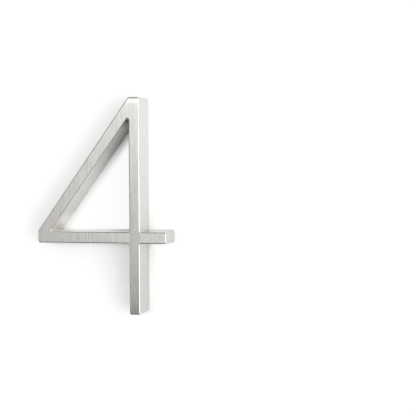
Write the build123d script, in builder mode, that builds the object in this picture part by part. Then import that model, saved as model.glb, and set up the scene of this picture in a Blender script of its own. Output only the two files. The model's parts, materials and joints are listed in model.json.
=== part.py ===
# House number: the figure four, cast in one piece, with a brushed face and rounded edges.
#
# The figure stands as it hangs on a wall: X to the right, Z up, and the face looks along -Y.
# Its flat back lies on the wall plane Y = 0, and the origin is the point of that back where
# the middle line of the stem crosses the middle line of the crossbar.
#
# Every wall is drafted, as a casting has to be to leave its mould: the outline is largest on
# the wall plane and shrinks towards the face, and the counter opens towards the face.

import os
from math import hypot, radians, tan

from build123d import *

# Overall sizes, measured on the wall plane, in millimetres
height = 127.0             # five inches, from the foot of the stem to its top
depth = 19.05              # three quarters of an inch, from the wall to the face
left_reach = 59.5          # from the stem's middle to the blunt left end of the crossbar
right_reach = 19.5         # from the stem's middle to the right end of the crossbar
bar_height = 45.25         # from the foot of the stem to the middle of the crossbar

# Stroke widths on the wall plane
stem_width = 7.65
bar_width = 7.95
diagonal_width = 7.75

# Casting details
draft_angle = 2.0          # degrees, on every wall
corner_radius = 1.75       # outer corners of the outline
crossing_radius = 0.2      # inside corners where the crossbar meets the stem
counter_radius = 0.2       # corners of the triangular counter
edge_radius = 0.65         # rounding along every edge of the face

# Tapped holes for the wall studs, one near each end of the stem
stud_inset = 12.7          # from the end of the stem to the hole's axis
thread_radius = 2.0        # M4, to the bottom of the thread's grooves
mouth_radius = 2.5         # countersunk mouth of the hole
mouth_depth = 0.5
face_skin = 7.0            # solid metal between the full bore and the face
drill_point_angle = 118.0  # degrees, included angle at the end of the bore

# Lines of the outline, seen from the front
foot = -bar_height
top = height - bar_height
stem_left = -stem_width / 2
bar_top = bar_width / 2
left_end = -left_reach

# The diagonal's outer edge runs from the crossbar's left end to the top of the stem
slope_run = stem_left - left_end
slope_rise = top - bar_top
slope_length = hypot(slope_run, slope_rise)

# The diagonal's inner edge is parallel to it, one stroke width inside
counter_left = left_end + diagonal_width * slope_length / slope_rise
counter_top = top - diagonal_width * slope_length / slope_run

# The bore of a stud hole, measured from the wall plane towards the face
bore_end = depth - face_skin
drill_point = thread_radius / tan(radians(drill_point_angle / 2))
stud_heights = (foot + stud_inset, top - stud_inset)

with BuildPart() as numeral:
    # Stem, crossbar and the corner between them, filled up to the diagonal's outer edge
    with BuildSketch(Plane.XZ) as outline:
        with Locations((0, (foot + top) / 2)):
            Rectangle(stem_width, height)
        with Locations(((right_reach - left_reach) / 2, 0)):
            Rectangle(left_reach + right_reach, bar_width)
        Polygon((left_end, bar_top), (stem_left, bar_top), (stem_left, top), align=None)
        fillet(outline.vertices().sort_by_distance((0, 0, 0))[:3], crossing_radius)
        fillet(outline.vertices().sort_by_distance((0, 0, 0))[-8:], corner_radius)
    extrude(amount=depth, taper=draft_angle)

    # The counter, which leaves the diagonal as a stroke of even width
    with BuildSketch(Plane.XZ) as counter:
        Polygon((counter_left, bar_top), (stem_left, bar_top), (stem_left, counter_top), align=None)
        fillet(counter.vertices(), counter_radius)
    extrude(amount=depth, taper=-draft_angle, mode=Mode.SUBTRACT)

    # Every edge of the face is rounded, round the outline and round the counter
    fillet(numeral.faces().sort_by(Axis.Y)[0].edges(), edge_radius)

    # Blind holes for the studs: countersunk mouth, tapped bore and drill point
    for stud_height in stud_heights:
        with BuildSketch(Plane.XY.offset(stud_height)):
            with BuildLine():
                Polyline(
                    (0, 0),
                    (mouth_radius, 0),
                    (thread_radius, -mouth_depth),
                    (thread_radius, -bore_end),
                    (0, -bore_end - drill_point),
                    close=True,
                )
            make_face()
        revolve(axis=Axis((0, 0, stud_height), (0, 1, 0)), mode=Mode.SUBTRACT)

os.makedirs("parts", exist_ok=True)
numeral.part.label = "numeral"
export_step(numeral.part, "parts/numeral.step")
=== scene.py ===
# %% [markdown]
# # House number: a brushed figure four
#
# The real object is one casting. It has a flat back that lies on a wall, drafted side walls, a
# brushed face and a small round along every edge of that face.
# The CAD model already has that shape at its real size, so its mesh stays as it is. This lesson
# gives it a camera, a wall to hang on, light, a finish, and the threads in its stud holes.

import json
import math

import bmesh
import bpy
from mathutils import Euler, Matrix, Vector


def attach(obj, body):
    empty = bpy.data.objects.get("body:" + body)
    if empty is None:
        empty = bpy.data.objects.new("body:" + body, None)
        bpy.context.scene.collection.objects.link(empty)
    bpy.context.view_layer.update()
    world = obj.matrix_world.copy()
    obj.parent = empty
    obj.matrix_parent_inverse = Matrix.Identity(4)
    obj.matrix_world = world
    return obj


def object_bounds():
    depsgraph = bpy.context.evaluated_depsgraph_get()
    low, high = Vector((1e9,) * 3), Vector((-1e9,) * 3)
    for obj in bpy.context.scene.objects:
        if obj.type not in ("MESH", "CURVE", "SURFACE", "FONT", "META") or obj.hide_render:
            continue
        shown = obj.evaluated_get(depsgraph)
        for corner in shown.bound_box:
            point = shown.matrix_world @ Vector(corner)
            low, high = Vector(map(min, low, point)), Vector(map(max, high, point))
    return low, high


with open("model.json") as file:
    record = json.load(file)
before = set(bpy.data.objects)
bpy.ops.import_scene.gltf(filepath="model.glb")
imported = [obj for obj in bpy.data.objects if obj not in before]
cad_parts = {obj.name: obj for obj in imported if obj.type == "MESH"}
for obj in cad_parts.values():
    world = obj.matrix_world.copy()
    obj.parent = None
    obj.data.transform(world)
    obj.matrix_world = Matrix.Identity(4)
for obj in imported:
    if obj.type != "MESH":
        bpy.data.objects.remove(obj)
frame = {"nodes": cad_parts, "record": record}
cad_low, cad_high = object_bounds()
numeral = frame["nodes"]["numeral"]
mm = 0.001
print("CAD box in mm:", [round(size / mm, 2) for size in (*cad_low, *cad_high)])

# %% [markdown]
# ## Camera
#
# The photograph looks at the number from a little to the right, so the right walls show.
# A camera could be placed by eye, but straight edges give more: the place, turn and lens below
# make the model's edges fall on the photographed ones to within a quarter of a pixel.

# %% Camera
camera_place = Vector((0.13578, -0.50332, 0.03599))
turned_left = math.radians(10.818)
looking_down = math.radians(2.144)
rolled = math.radians(-0.173)
film_width = 36.0
focal_length = 75.354
nearest_seen = 0.01

camera = bpy.data.objects.new("camera", bpy.data.cameras.new("camera"))
camera.data.sensor_width = film_width
camera.data.lens = focal_length
camera.data.clip_start = nearest_seen
aim = Euler((math.pi / 2 - looking_down, 0, turned_left)).to_matrix() @ Matrix.Rotation(rolled, 3, "Z")
camera.matrix_world = Matrix.LocRotScale(camera_place, aim, None)
bpy.context.scene.collection.objects.link(camera)
bpy.context.scene.camera = camera
bpy.context.scene.view_settings.view_transform = "Standard"
print("camera is", round(camera_place.length, 3), "m from the origin")

# %% [markdown]
# ## Helpers for node trees
#
# Materials, the world and Geometry Nodes are all trees of nodes. They could be joined up by hand
# in the editor, but a script can be read and changed. Five short helpers keep each tree
# readable: they add a node, join two sockets, fill an input, change one range of values
# smoothly into another, and do maths.

# %% Node helpers
def add_node(tree, kind, values=None, **settings):
    """A new node. Settings are its properties, and values go to its inputs by name or number."""
    node = tree.nodes.new(kind)
    for name, setting in settings.items():
        setattr(node, name, setting)
    for name, value in (values or {}).items():
        node.inputs[name].default_value = value
    return node


def join(tree, source, output, target, entry):
    """Links an output of one node to an input of another."""
    tree.links.new(source.outputs[output], target.inputs[entry])


def feed(tree, item, target, entry):
    """Fills an input with a plain number, or with a node's first output."""
    if isinstance(item, (int, float)):
        target.inputs[entry].default_value = item
    else:
        join(tree, item, 0, target, entry)


def remap(tree, source, output, low, high, to_low=0.0, to_high=1.0):
    """A smooth change from to_low to to_high while the input goes from low to high."""
    values = {"From Min": low, "From Max": high, "To Min": to_low, "To Max": to_high}
    node = add_node(tree, "ShaderNodeMapRange", values, interpolation_type="SMOOTHSTEP")
    join(tree, source, output, node, "Value")
    return node


def combine(tree, operation, first, *others):
    """Maths on two or more results, from left to right. Each is a node or a plain number."""
    for other in others:
        node = add_node(tree, "ShaderNodeMath", operation=operation)
        feed(tree, first, node, 0)
        feed(tree, other, node, 1)
        first = node
    return first


print("helpers ready: add_node, join, feed, remap, combine")

# %% [markdown]
# ## The wall
#
# A house number is made to lie flat on a wall, so its pale ground is a wall and not a floor.
# A plain plane behind it would hide the back of the number from behind. The wall here has the
# number's own outline cut out, taken from the rim of its flat back, and is see-through from
# behind, so the back can be looked at and light reaches it.

# %% Rim of the flat back
same_place = 1e-6


def path_length(points):
    """Length of the closed path through the points."""
    return sum((a - b).length for a, b in zip(points, points[1:] + points[:1]))


def back_outlines(mesh):
    """Closed loops of points round the flat back, the longest loop first."""
    shape = bmesh.new()
    shape.from_mesh(mesh)
    bmesh.ops.remove_doubles(shape, verts=shape.verts, dist=same_place)
    flat = {face for face in shape.faces if all(abs(vert.co.y) < same_place for vert in face.verts)}
    rim = {edge for edge in shape.edges if len(flat.intersection(edge.link_faces)) == 1}
    loops = []
    while rim:
        edge = rim.pop()
        first, vert = edge.verts
        points = [first.co.copy()]
        while vert is not first:
            points.append(vert.co.copy())
            edge = next(other for other in vert.link_edges if other in rim)
            rim.remove(edge)
            vert = edge.other_vert(vert)
        loops.append(points)
    shape.free()
    return sorted(loops, key=path_length, reverse=True)


outer_rim, counter_rim, *hole_rims = back_outlines(numeral.data)
print("rims in mm:", [round(path_length(rim) / mm, 1) for rim in (outer_rim, counter_rim, *hole_rims)])

# %% Wall with the outline cut out
wall_reach = 2.0
paint_around, paint_in_counter = 0, 1


def ring(shape, points):
    """Edges of a closed loop through the points."""
    verts = [shape.verts.new(point) for point in points]
    return [shape.edges.new(pair) for pair in zip(verts, verts[1:] + verts[:1])]


def fill(shape, edges, paint):
    """Flat faces between the edges, with the number of their paint, looking to the front."""
    made = bmesh.ops.triangle_fill(shape, edges=edges, use_beauty=True)["geom"]
    for face in made:
        if isinstance(face, bmesh.types.BMFace):
            face.material_index = paint
            face.normal_update()
            if face.normal.y > 0:
                face.normal_flip()


corner_sides = ((-1, -1), (-1, 1), (1, 1), (1, -1))
wall_corners = [Vector((x * wall_reach, 0, z * wall_reach)) for x, z in corner_sides]
wall_shape = bmesh.new()
fill(wall_shape, ring(wall_shape, wall_corners) + ring(wall_shape, outer_rim), paint_around)
fill(wall_shape, ring(wall_shape, counter_rim), paint_in_counter)
wall = bpy.data.objects.new("backdrop_wall", bpy.data.meshes.new("backdrop_wall"))
wall_shape.to_mesh(wall.data)
wall_shape.free()
bpy.context.scene.collection.objects.link(wall)
wall_area = sum(face.area for face in wall.data.polygons)
print("wall faces:", len(wall.data.polygons), "area in square metres:", round(wall_area, 3))

# %% [markdown]
# ## White paint for the wall
#
# The wall is matt white, and it is see-through from behind. The photographed ground keeps a soft
# shadow to the left of each stroke, and is nearly pure white elsewhere, even in the counter,
# the open triangle that three walls close in. More lamps would bleach the shadows and the metal
# too, so the paint shows a share of plain white of its own to the rays that look at it. The
# share fades out towards the diagonal in the counter, and towards the stem on the right. Far
# from the number it grows to all white, so that the wall's end shows no grey edge.

# %% White paint: where it shows its own white
left_corner = min(counter_rim, key=lambda point: point.x)
apex = max(counter_rim, key=lambda point: point.z)
diagonal_run = (apex - left_corner).normalized()
off_diagonal = Vector((diagonal_run.z, 0, -diagonal_run.x))
diagonal_foot = off_diagonal.dot(left_corner)
off_stem = Vector((1, 0, 0))
stem_foot = -max(point.x for point in counter_rim)  # the stem is as wide to the right as to the left
far_fade = (0.18, 0.40)


def white_share(tree, direction, start, fade, most):
    """How much plain white the rays see: it grows along a direction, and far from the number."""
    rays = add_node(tree, "ShaderNodeLightPath")
    direct = add_node(tree, "ShaderNodeMath", operation="MAXIMUM")
    join(tree, rays, "Is Camera Ray", direct, 0)
    join(tree, rays, "Is Glossy Ray", direct, 1)
    seen = add_node(tree, "ShaderNodeMath", operation="MAXIMUM")
    join(tree, direct, 0, seen, 0)
    join(tree, rays, "Is Transmission Ray", seen, 1)
    place = add_node(tree, "ShaderNodeTexCoord")
    along = add_node(tree, "ShaderNodeVectorMath", {1: direction}, operation="DOT_PRODUCT")
    join(tree, place, "Object", along, 0)
    away = add_node(tree, "ShaderNodeVectorMath", operation="LENGTH")
    join(tree, place, "Object", away, 0)
    near = remap(tree, along, "Value", start, start + fade, 0.0, most)
    far = remap(tree, away, "Value", *far_fade)
    return combine(tree, "MULTIPLY", seen, combine(tree, "MAXIMUM", near, far))


print("feet of diagonal and stem in mm:", round(diagonal_foot / mm, 2), round(stem_foot / mm, 2))

# %% White paint
paint_white = 0.92
counter_white = 0.85
counter_fade = 0.006
right_white = 0.7
right_fade = 0.004


def wall_paint(name, direction, start, fade, most):
    """Matt white with a share of plain white of its own, and see-through from behind."""
    material = bpy.data.materials.new(name)
    material.use_nodes = True
    tree = material.node_tree
    tree.nodes.clear()
    matt = add_node(tree, "ShaderNodeBsdfDiffuse", {"Color": (paint_white, paint_white, paint_white, 1)})
    glow = add_node(tree, "ShaderNodeEmission", {"Color": (1, 1, 1, 1), "Strength": 1.0})
    paint = add_node(tree, "ShaderNodeMixShader")
    join(tree, white_share(tree, direction, start, fade, most), 0, paint, 0)
    join(tree, matt, 0, paint, 1)
    join(tree, glow, 0, paint, 2)
    clear = add_node(tree, "ShaderNodeBsdfTransparent")
    side = add_node(tree, "ShaderNodeNewGeometry")
    choice = add_node(tree, "ShaderNodeMixShader")
    join(tree, side, "Backfacing", choice, 0)
    join(tree, paint, 0, choice, 1)
    join(tree, clear, 0, choice, 2)
    output = add_node(tree, "ShaderNodeOutputMaterial")
    join(tree, choice, 0, output, "Surface")
    return material


wall.data.materials.append(wall_paint("wall_paint", off_stem, stem_foot, right_fade, right_white))
wall.data.materials.append(
    wall_paint("counter_paint", off_diagonal, diagonal_foot, counter_fade, counter_white))
print("wall wears", [paint.name for paint in wall.data.materials])

# %% [markdown]
# ## Room light
#
# Bare metal shows its surroundings, so its shading is the shape of the light. Many soft boxes
# could stand round the number, but a world that is brighter in some directions than in others
# does the same with no edges. Most patches below are a band across (X) times a band up (Z). The
# front patch is bright above eye height and dims towards the ground, which is why the stem goes
# from white at its top to grey at its foot.

# %% Room patches: pairs of direction and level
front_heights = ((-0.30, 0.0), (-0.17, 0.16), (-0.145, 0.19), (-0.117, 0.445), (-0.07, 0.475),
                 (0.008, 0.51), (0.044, 0.44), (0.08, 0.57), (0.16, 1.0), (0.28, 1.0), (0.33, 0.0))
front_widths = ((-0.64, 0.0), (-0.50, 0.10), (-0.22, 0.545), (-0.05, 0.43), (0.25, 0.40), (0.60, 0.0))
front_gain = 4.3
right_heights = ((-1.0, 0.0), (-0.35, 1.0))
right_widths = ((-0.15, 0.0), (0.25, 1.0), (0.80, 1.0), (1.0, 0.60))
right_gain = 1.12
low_left_heights = ((-0.34, 1.0), (-0.22, 0.0))
low_left_widths = ((-0.88, 0.0), (-0.76, 0.8), (-0.60, 0.8), (-0.50, 0.0))
high_left_heights = ((0.45, 0.0), (0.58, 1.0))
high_left_widths = ((-0.88, 0.0), (-0.74, 0.8), (-0.38, 0.8), (-0.27, 0.0))
far_left_widths = ((-0.93, 0.94), (-0.88, 0.0))
behind_depths = ((0.0, 0.0), (0.3, 0.75))
room_dark = 0.06


def profile(tree, source, output, stops, easing="EASE"):
    """A level that goes from stop to stop, each stop being an input value and the level there."""
    first, last = stops[0][0], stops[-1][0]
    scaled = add_node(tree, "ShaderNodeMapRange", {"From Min": first, "From Max": last})
    join(tree, source, output, scaled, "Value")
    ramp = add_node(tree, "ShaderNodeValToRGB")
    ramp.color_ramp.interpolation = easing
    marks = ramp.color_ramp.elements
    while len(marks) < len(stops):
        marks.new(0.5)  # any place will do, since the next lines move every mark
    for mark, (value, level) in zip(marks, stops):
        mark.position = (value - first) / (last - first)
        mark.color = (level, level, level, 1)
    join(tree, scaled, 0, ramp, 0)
    return ramp


print("the front patch has", len(front_heights), "heights and", len(front_widths), "widths")

# %% Room light
def patch(tree, parts, widths, heights, gain=1.0, easing="EASE"):
    """One patch of the room: its widths times its heights."""
    across = profile(tree, parts, "X", widths, easing)
    up = profile(tree, parts, "Z", heights, easing)
    return combine(tree, "MULTIPLY", across, up, gain)


def room_light():
    """A dim room with a bright patch in front, a bright right side, and pale places elsewhere."""
    world = bpy.data.worlds.new("studio_room")
    world.use_nodes = True
    tree = world.node_tree
    tree.nodes.clear()
    place = add_node(tree, "ShaderNodeTexCoord")
    parts = add_node(tree, "ShaderNodeSeparateXYZ")
    join(tree, place, "Generated", parts, 0)
    patches = [
        patch(tree, parts, front_widths, front_heights, front_gain, "LINEAR"),
        patch(tree, parts, right_widths, right_heights, right_gain),
        patch(tree, parts, low_left_widths, low_left_heights),
        patch(tree, parts, high_left_widths, high_left_heights),
        profile(tree, parts, "X", far_left_widths),
        profile(tree, parts, "Y", behind_depths),
    ]
    level = combine(tree, "ADD", combine(tree, "MAXIMUM", *patches), room_dark)
    backdrop = add_node(tree, "ShaderNodeBackground", {"Color": (1, 1, 1, 1)})
    join(tree, level, 0, backdrop, "Strength")
    output = add_node(tree, "ShaderNodeOutputWorld")
    join(tree, backdrop, 0, output, "Surface")
    return world


bpy.context.scene.world = room_light()
print("room light has", len(bpy.context.scene.world.node_tree.nodes), "nodes")

# %% [markdown]
# ## Lamps
#
# The right-hand edges of the face shine, and a soft shadow falls to the left on the wall: one
# soft box stands far round to the right. Two more lamps are there for the wall, so that it comes
# out white: one stands near the camera, where its shadow hides behind the number, and one to
# the left softens the shadow of the first. Metal would mirror them as bright squares, so they
# are hidden from its reflections.

# %% Lamps
number_middle = (cad_low + cad_high) / 2


def soft_light(name, place, size, radiance, in_metal):
    """A rectangular lamp of even brightness, turned to the number."""
    lamp = bpy.data.lights.new(name, "AREA")
    lamp.shape = "RECTANGLE"
    lamp.size, lamp.size_y = size
    lamp.energy = radiance * math.pi * lamp.size * lamp.size_y
    box = bpy.data.objects.new(name, lamp)
    facing = (number_middle - Vector(place)).to_track_quat("-Z", "Y")
    box.matrix_world = Matrix.LocRotScale(Vector(place), facing, None)
    box.visible_camera = False
    box.visible_glossy = in_metal
    bpy.context.scene.collection.objects.link(box)


soft_light("edge_softbox", place=(0.55, -0.62, -0.02), size=(0.44, 0.38), radiance=2.8, in_metal=True)
soft_light("wall_fill", place=(0.14, -1.0, 0.04), size=(0.22, 0.22), radiance=8.0, in_metal=False)
soft_light("wall_left", place=(-0.27, -0.97, 0.04), size=(0.25, 0.25), radiance=13.0, in_metal=False)
print("lamps and watts:", {lamp.name: round(lamp.energy, 2) for lamp in bpy.data.lights})

# %% [markdown]
# ## Brush lines
#
# The face was drawn over an abrasive belt, which leaves upright lines: a few broad ones and
# many fine ones. A picture of such lines would repeat and blur. Noise that is squeezed across
# the belt's direction and stretched along it gives lines of any fineness, and one group serves
# both line widths.

# %% Group: stretched lines
line_detail = 3.0


def line_group():
    """A shader group: noise with a spacing of its own along each axis."""
    tree = bpy.data.node_groups.new("stretched_lines", "ShaderNodeTree")
    tree.interface.new_socket("Spacing", in_out="INPUT", socket_type="NodeSocketVector")
    tree.interface.new_socket("Roughening", in_out="INPUT", socket_type="NodeSocketFloat")
    tree.interface.new_socket("Lines", in_out="OUTPUT", socket_type="NodeSocketFloat")
    entry = add_node(tree, "NodeGroupInput")
    place = add_node(tree, "ShaderNodeTexCoord")
    stretched = add_node(tree, "ShaderNodeVectorMath", operation="DIVIDE")
    join(tree, place, "Object", stretched, 0)
    join(tree, entry, "Spacing", stretched, 1)
    noise = add_node(tree, "ShaderNodeTexNoise", {"Scale": 1.0, "Detail": line_detail})
    join(tree, stretched, 0, noise, "Vector")
    join(tree, entry, "Roughening", noise, "Roughness")
    leave = add_node(tree, "NodeGroupOutput")
    join(tree, noise, 0, leave, "Lines")
    return tree


lines = line_group()
print("group", lines.name, "has", len(lines.nodes), "nodes")

# %% [markdown]
# ## Zones of the surface
#
# Face, rounded edge and walls of a casting are finished one after the other, so each has a look
# of its own. Parts of the mesh could be painted by hand, but which way a surface looks already
# tells them apart: the face looks along -Y, the walls across it, and the edges in between.

# %% Group: zones, each with the stretch of the normal in which its mask changes
face_ahead = (-0.995, -0.97)
rounded_ahead = (-0.25, -0.12)
square_wall = (0.90, 0.97)
diagonal_right = (0.60, 0.75)
diagonal_down = (-0.45, -0.30)


def zone_group():
    """A shader group: masks for the parts of the surface, made from the normal."""
    tree = bpy.data.node_groups.new("surface_zones", "ShaderNodeTree")
    place = add_node(tree, "ShaderNodeTexCoord")
    facing = add_node(tree, "ShaderNodeSeparateXYZ")
    join(tree, place, "Normal", facing, 0)
    face = remap(tree, facing, "Y", *face_ahead, 1.0, 0.0)
    rounded = remap(tree, facing, "Y", *rounded_ahead, 1.0, 0.0)
    to_right = remap(tree, facing, "X", *diagonal_right)
    downward = remap(tree, facing, "Z", *diagonal_down, 1.0, 0.0)
    masks = {
        "Face": face,
        "Edge": combine(tree, "SUBTRACT", rounded, face),
        "Right Wall": remap(tree, facing, "X", *square_wall),
        "Upper Wall": remap(tree, facing, "Z", *square_wall),
        "Under Diagonal": combine(tree, "MULTIPLY", to_right, downward),
    }
    leave = add_node(tree, "NodeGroupOutput")
    for name, mask in masks.items():
        tree.interface.new_socket(name, in_out="OUTPUT", socket_type="NodeSocketFloat")
        join(tree, mask, 0, leave, name)
    return tree


zones = zone_group()
print("group", zones.name, "gives", [item.name for item in zones.interface.items_tree])

# %% [markdown]
# ## Tone of the face
#
# The whole face shows brush lines. On the lower stem it is a little darker, with a sharp change
# where stem and crossbar meet, and the darkening fades out upwards. Two materials would leave a
# hard seam, so one tone fades from the stem to the rest of the face.

# %% Face tone
broad_spacing = (0.0011, 0.0011, 0.050)
fine_spacing = (0.00040, 0.00040, 0.006)
line_roughening = 0.6
line_average = 1.0
line_range = (0.65, 1.35)
line_tones = (0.84, 1.09)
stem_tone = 0.84
stem_sides = (0.0029, 0.0037)
stem_fade = (0.012, 0.055)


def blend(tree, mask, first, second):
    """The first value where the mask is 0, the second where it is 1. Each is a node or a number."""
    node = add_node(tree, "ShaderNodeMix", data_type="FLOAT")
    feed(tree, mask, node, "Factor")
    feed(tree, first, node, "A")
    feed(tree, second, node, "B")
    return node


def brush_lines(tree):
    """Broad and fine lines added up, so that they come to the line average."""
    both = []
    for spacing in (broad_spacing, fine_spacing):
        values = {"Spacing": spacing, "Roughening": line_roughening}
        both.append(add_node(tree, "ShaderNodeGroup", values, node_tree=lines))
    return combine(tree, "ADD", *both)


def face_tone(tree, parts, brushed):
    """Brush lines, darker on the lower stem."""
    streaks = remap(tree, brushed, 0, *line_range, *line_tones)
    aside = add_node(tree, "ShaderNodeMath", operation="ABSOLUTE")
    join(tree, parts, "X", aside, 0)
    beside = remap(tree, aside, 0, *stem_sides)
    above = remap(tree, parts, "Z", *stem_fade)
    stem_darkening = blend(tree, combine(tree, "MAXIMUM", beside, above), stem_tone, 1.0)
    return combine(tree, "MULTIPLY", streaks, stem_darkening)


print("brush lines are", broad_spacing[0] / mm, "and", fine_spacing[0] / mm, "mm apart")

# %% [markdown]
# ## Tone of the walls
#
# Painted shade makes the walls a little darker than the face. Painted light brightens the outer
# right wall towards its top. In the counter's narrow upper end and in the nook between crossbar
# and stem, painted shade makes the walls dark, and painted light makes the counter's open lower
# left corner bright. Each of these is a smooth mask: a zone of the surface times a stretch of the
# height or width.

# %% Wall tone
# painted shade: the walls a little darker than the face
painted_wall_shade = 0.83
# painted light: the outer right wall brighter towards its top
painted_top_light = 1.04
top_light_heights = (cad_low.z, 0.075)
low_heights = (0.008, 0.016)
# painted light: the counter's lower left corner brighter
painted_corner_light = 1.12
corner_widths = (-0.040, -0.024)
# painted shade: the nook between crossbar and stem darker
painted_nook_shade = 0.38
nook_widths = ((-0.026, 0.0), (-0.006, 1.0), (-0.001, 1.0), (0.0, 0.0))
# painted shade: the counter's narrow upper end darker
painted_apex_shade = 0.43
apex_heights = (0.030, 0.057)


def wall_tones(tree, parts, masks):
    """Painted shade on the walls, lighter or darker in places where light falls more or less."""
    # painted light towards the top of the outer right wall
    lit_top = combine(tree, "MULTIPLY", remap(tree, parts, "Z", *top_light_heights), masks["Right Wall"])
    low = remap(tree, parts, "Z", *low_heights, 1.0, 0.0)
    left = remap(tree, parts, "X", *corner_widths, 1.0, 0.0)
    inside = combine(tree, "MAXIMUM", masks["Upper Wall"], masks["Under Diagonal"])
    # painted light in the counter's lower left corner
    corner = combine(tree, "MULTIPLY", low, left, inside)
    beside_stem = profile(tree, parts, "X", nook_widths)
    # painted shade in the nook between crossbar and stem
    shaded_nook = combine(tree, "MULTIPLY", low, beside_stem, masks["Upper Wall"])
    # painted shade in the counter's narrow upper end
    shaded_apex = combine(tree, "MULTIPLY", remap(tree, parts, "Z", *apex_heights), masks["Under Diagonal"])
    tone = blend(tree, lit_top, painted_wall_shade, painted_top_light)
    tone = blend(tree, corner, tone, painted_corner_light)
    tone = blend(tree, shaded_nook, tone, painted_nook_shade)
    return blend(tree, shaded_apex, tone, painted_apex_shade)


print("wall tones, dark to bright:", sorted((painted_wall_shade, painted_top_light, painted_corner_light, painted_nook_shade, painted_apex_shade)))

# %% [markdown]
# ## Lean of the face's ends and depth of the lines
#
# A belt gives way at the end of a stroke, so the face leans back there, by up to nine degrees at
# the top of the stem and one at its foot: that is the white flare and the darker foot. The fall
# is too small to show in the outline, so only the normal leans, and the mesh stays. The brush
# lines are scratches of less than a hundredth of a millimetre, which a Bump node shows with no
# geometry at all.

# %% Lean and scratches: a lean is the tilt of the normal for each metre past its start
top_start = cad_high.z - 0.0047
top_lean = 34.0
foot_start = cad_low.z + 0.0090
foot_lean = 2.0
scratch_depth = 0.000006


def past(tree, source, output, start):
    """How far an output is past a starting value."""
    node = add_node(tree, "ShaderNodeMath", {1: start}, operation="SUBTRACT")
    join(tree, source, output, node, 0)
    return node


def lean_and_scratches(tree, parts, face, brushed):
    """The normal of the face: leaning at its ends, with fine scratches in it."""
    past_top = combine(tree, "MAXIMUM", past(tree, parts, "Z", top_start), 0.0)
    past_foot = combine(tree, "MINIMUM", past(tree, parts, "Z", foot_start), 0.0)
    at_top = combine(tree, "MULTIPLY", past_top, top_lean)
    at_foot = combine(tree, "MULTIPLY", past_foot, foot_lean)
    upward = add_node(tree, "ShaderNodeCombineXYZ")
    join(tree, combine(tree, "MULTIPLY", combine(tree, "ADD", at_top, at_foot), face), 0, upward, "Z")
    surface = add_node(tree, "ShaderNodeNewGeometry")
    leaning = add_node(tree, "ShaderNodeVectorMath", operation="ADD")
    join(tree, surface, "Normal", leaning, 0)
    join(tree, upward, 0, leaning, 1)
    unit = add_node(tree, "ShaderNodeVectorMath", operation="NORMALIZE")
    join(tree, leaning, 0, unit, 0)
    scratches = combine(tree, "MULTIPLY", combine(tree, "SUBTRACT", brushed, line_average), face)
    bump = add_node(tree, "ShaderNodeBump", {"Distance": scratch_depth})
    join(tree, scratches, 0, bump, "Height")
    join(tree, unit, 0, bump, "Normal")
    return bump


print("the face leans above", round(top_start / mm, 2), "mm and below", round(foot_start / mm, 2), "mm")

# %% [markdown]
# ## The finished metal
#
# All parts meet in one Principled shader. It is fully metallic, so the base colour is the colour
# of the reflection: a warm pale grey. Brushing blurs reflections across its lines, which is what
# Anisotropic does. The rounded edges rubbed smooth, so they are glossier than face and walls.

# %% Metal
metal_colour = (0.768, 0.758, 0.728)
brush_anisotropy = 0.75
roughness_range = (0.6, 1.4)
face_roughness = (0.20, 0.32)
wall_roughness = (0.23, 0.29)
edge_roughness = 0.12


def brushed_metal():
    """Satin cast metal with upright brush lines on its face."""
    material = bpy.data.materials.new("brushed_finish")
    material.use_nodes = True
    tree = material.node_tree
    shader = tree.nodes["Principled BSDF"]
    shader.inputs["Metallic"].default_value = 1.0
    shader.inputs["Anisotropic"].default_value = brush_anisotropy
    place = add_node(tree, "ShaderNodeTexCoord")
    parts = add_node(tree, "ShaderNodeSeparateXYZ")
    join(tree, place, "Object", parts, 0)
    where = add_node(tree, "ShaderNodeGroup", node_tree=zones)
    masks = {}
    for name in where.outputs.keys():
        # the helpers read a node's first output, so each mask gets a node of its own
        masks[name] = add_node(tree, "ShaderNodeClamp")
        join(tree, where, name, masks[name], 0)
    brushed = brush_lines(tree)

    tones = blend(tree, masks["Face"], wall_tones(tree, parts, masks), face_tone(tree, parts, brushed))
    colour = add_node(tree, "ShaderNodeVectorMath", {0: metal_colour}, operation="SCALE")
    join(tree, tones, 0, colour, "Scale")
    join(tree, colour, 0, shader, "Base Color")

    on_face = remap(tree, brushed, 0, *roughness_range, *face_roughness)
    on_walls = remap(tree, brushed, 0, *roughness_range, *wall_roughness)
    flat = blend(tree, masks["Face"], on_walls, on_face)
    join(tree, blend(tree, masks["Edge"], flat, edge_roughness), 0, shader, "Roughness")
    join(tree, lean_and_scratches(tree, parts, masks["Face"], brushed), 0, shader, "Normal")
    return material


metal = brushed_metal()
numeral.material_slots[0].material = metal
print("numeral wears", metal.name, "with", len(metal.node_tree.nodes), "nodes")

# %% [markdown]
# ## Threads in the stud holes
#
# The number hangs on two studs that screw into its back, so both holes are tapped M4. The CAD
# hole is a plain bore, as wide as the thread's grooves. What a tap leaves between its grooves is
# one long ridge that winds along the bore. It could be drawn turn by turn, but a small profile
# that follows a spiral curve keeps pitch, length and place as numbers.

# %% Sizes of the thread: a standard ridge has fixed shares of the pitch
pitch = 0.0007
turns = 14.0
height_share = 0.5413
foot_share = 7 / 8
crest_share = 1 / 4
wall_bite = 0.00002
lead_turns = 0.5
end_size = 0.02
steps_in_a_turn = 40
mouth_names = ("Upper Mouth", "Lower Mouth")
ridge_sizes = {
    "Pitch": pitch,
    "Turns": turns,
    "Ridge Height": height_share * pitch,
    "Ridge Foot": foot_share * pitch,
    "Ridge Crest": crest_share * pitch,
    "Bite": wall_bite,
    "Lead": lead_turns / turns,
}
print("thread is", round(turns * pitch / mm, 1), "mm long")

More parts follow.
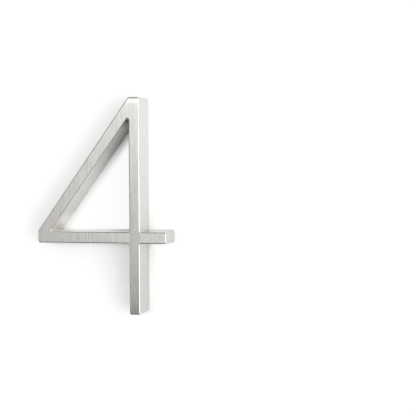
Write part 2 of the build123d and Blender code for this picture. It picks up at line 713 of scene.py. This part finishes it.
# %% Parts of the ridge: path, outline and growth
def spiral_path(tree, entry):
    """A right-handed spiral on the bore's wall."""
    length = add_node(tree, "ShaderNodeMath", operation="MULTIPLY")
    join(tree, entry, "Pitch", length, 0)
    join(tree, entry, "Turns", length, 1)
    spiral = add_node(tree, "GeometryNodeCurveSpiral", {"Resolution": steps_in_a_turn, "Reverse": True})
    join(tree, entry, "Turns", spiral, "Rotations")
    join(tree, length, 0, spiral, "Height")
    join(tree, entry, "Bore Radius", spiral, "Start Radius")
    join(tree, entry, "Bore Radius", spiral, "End Radius")
    path = add_node(tree, "GeometryNodeSetCurveNormal", mode="Z_UP")
    join(tree, spiral, 0, path, "Curve")
    return path


def ridge_outline(tree, entry):
    """A trapezium with its foot just inside the wall and its crest towards the bore's axis."""
    trapezium = add_node(tree, "GeometryNodeCurvePrimitiveQuadrilateral", {"Offset": 0.0}, mode="TRAPEZOID")
    join(tree, entry, "Ridge Height", trapezium, "Height")
    join(tree, entry, "Ridge Foot", trapezium, "Bottom Width")
    join(tree, entry, "Ridge Crest", trapezium, "Top Width")
    # half the height towards the axis, and the bite back into the wall
    inward = add_node(tree, "ShaderNodeMath", {1: -1 / 2}, operation="MULTIPLY_ADD")
    join(tree, entry, "Ridge Height", inward, 0)
    join(tree, entry, "Bite", inward, 2)
    shift = add_node(tree, "ShaderNodeCombineXYZ")
    join(tree, inward, 0, shift, "X")
    outline = add_node(tree, "GeometryNodeTransform", {"Rotation": (0, 0, math.pi / 2)})
    join(tree, trapezium, 0, outline, "Geometry")
    join(tree, shift, 0, outline, "Translation")
    return outline


def ridge_growth(tree, entry):
    """The ridge's size: it grows out of the wall at one end and sinks back at the other."""
    along = add_node(tree, "GeometryNodeSplineParameter")
    to_end = add_node(tree, "ShaderNodeMath", {0: 1.0}, operation="SUBTRACT")
    join(tree, along, "Factor", to_end, 1)
    nearest = add_node(tree, "ShaderNodeMath", operation="MINIMUM")
    join(tree, along, "Factor", nearest, 0)
    join(tree, to_end, 0, nearest, 1)
    grown = add_node(tree, "ShaderNodeMapRange", {"To Min": end_size, "To Max": 1.0})
    join(tree, nearest, 0, grown, "Value")
    join(tree, entry, "Lead", grown, "From Max")
    return grown


print("the ridge takes", steps_in_a_turn, "steps in a turn")

# %% Tree: a ridge along a spiral, in both holes
def thread_tree():
    """Geometry Nodes: a trapezium swept along a spiral, set at two points and turned into the back."""
    tree = bpy.data.node_groups.new("tapped_thread", "GeometryNodeTree")
    sockets = tree.interface
    sockets.new_socket("Geometry", in_out="INPUT", socket_type="NodeSocketGeometry")
    for name in mouth_names:
        sockets.new_socket(name, in_out="INPUT", socket_type="NodeSocketVector")
    for name in ("Bore Radius", *ridge_sizes):
        sockets.new_socket(name, in_out="INPUT", socket_type="NodeSocketFloat")
    sockets.new_socket("Material", in_out="INPUT", socket_type="NodeSocketMaterial")
    sockets.new_socket("Geometry", in_out="OUTPUT", socket_type="NodeSocketGeometry")
    entry = add_node(tree, "NodeGroupInput")

    ridge = add_node(tree, "GeometryNodeCurveToMesh", {"Fill Caps": True})
    join(tree, spiral_path(tree, entry), 0, ridge, "Curve")
    join(tree, ridge_outline(tree, entry), 0, ridge, "Profile Curve")
    join(tree, ridge_growth(tree, entry), 0, ridge, "Scale")

    points = add_node(tree, "GeometryNodeMeshLine", {"Count": len(mouth_names)}, mode="END_POINTS")
    join(tree, entry, "Upper Mouth", points, "Start Location")
    join(tree, entry, "Lower Mouth", points, "Offset")
    set_in = add_node(tree, "GeometryNodeInstanceOnPoints", {"Rotation": (math.pi / 2, 0, 0)})
    join(tree, points, 0, set_in, "Points")
    join(tree, ridge, 0, set_in, "Instance")
    solid = add_node(tree, "GeometryNodeRealizeInstances")
    join(tree, set_in, 0, solid, 0)
    finish = add_node(tree, "GeometryNodeSetMaterial")
    join(tree, solid, 0, finish, "Geometry")
    join(tree, entry, "Material", finish, "Material")
    leave = add_node(tree, "NodeGroupOutput")
    join(tree, finish, 0, leave, "Geometry")
    return tree


tapped = thread_tree()
print("tree", tapped.name, "has", len(tapped.nodes), "nodes")

# %% Threads as a plain mesh
def plain_mesh(name, tree, values):
    """An object whose mesh is what the tree makes from the values."""
    piece = bpy.data.objects.new(name, bpy.data.meshes.new(name))
    bpy.context.scene.collection.objects.link(piece)
    modifier = piece.modifiers.new(name, "NODES")
    modifier.node_group = tree
    for item in tree.interface.items_tree:
        if item.in_out == "INPUT" and item.name in values:
            modifier[item.identifier] = values[item.name]
    made = piece.evaluated_get(bpy.context.evaluated_depsgraph_get())
    mesh = bpy.data.meshes.new_from_object(made)
    while mesh.materials[0] is None:
        mesh.materials.pop(index=0)
    piece.modifiers.clear()
    piece.data = mesh
    return piece


holes = [mount for mount in frame["record"]["mounts"] if mount["kind"] == "threaded_hole"]
places = {"Bore Radius": holes[0]["dims"]["r_mm"] * mm}
for name, hole in zip(mouth_names, holes):
    to_mouth = (hole["dims"]["length_mm"] * mm - pitch) / 2
    places[name] = Vector(hole["pos_m"]) + Vector(hole["axis"]) * to_mouth
threads = plain_mesh("stud_threads", tapped, {**places, **ridge_sizes, "Material": metal})
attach(threads, "root")
print("threads have", len(threads.data.polygons), "faces")
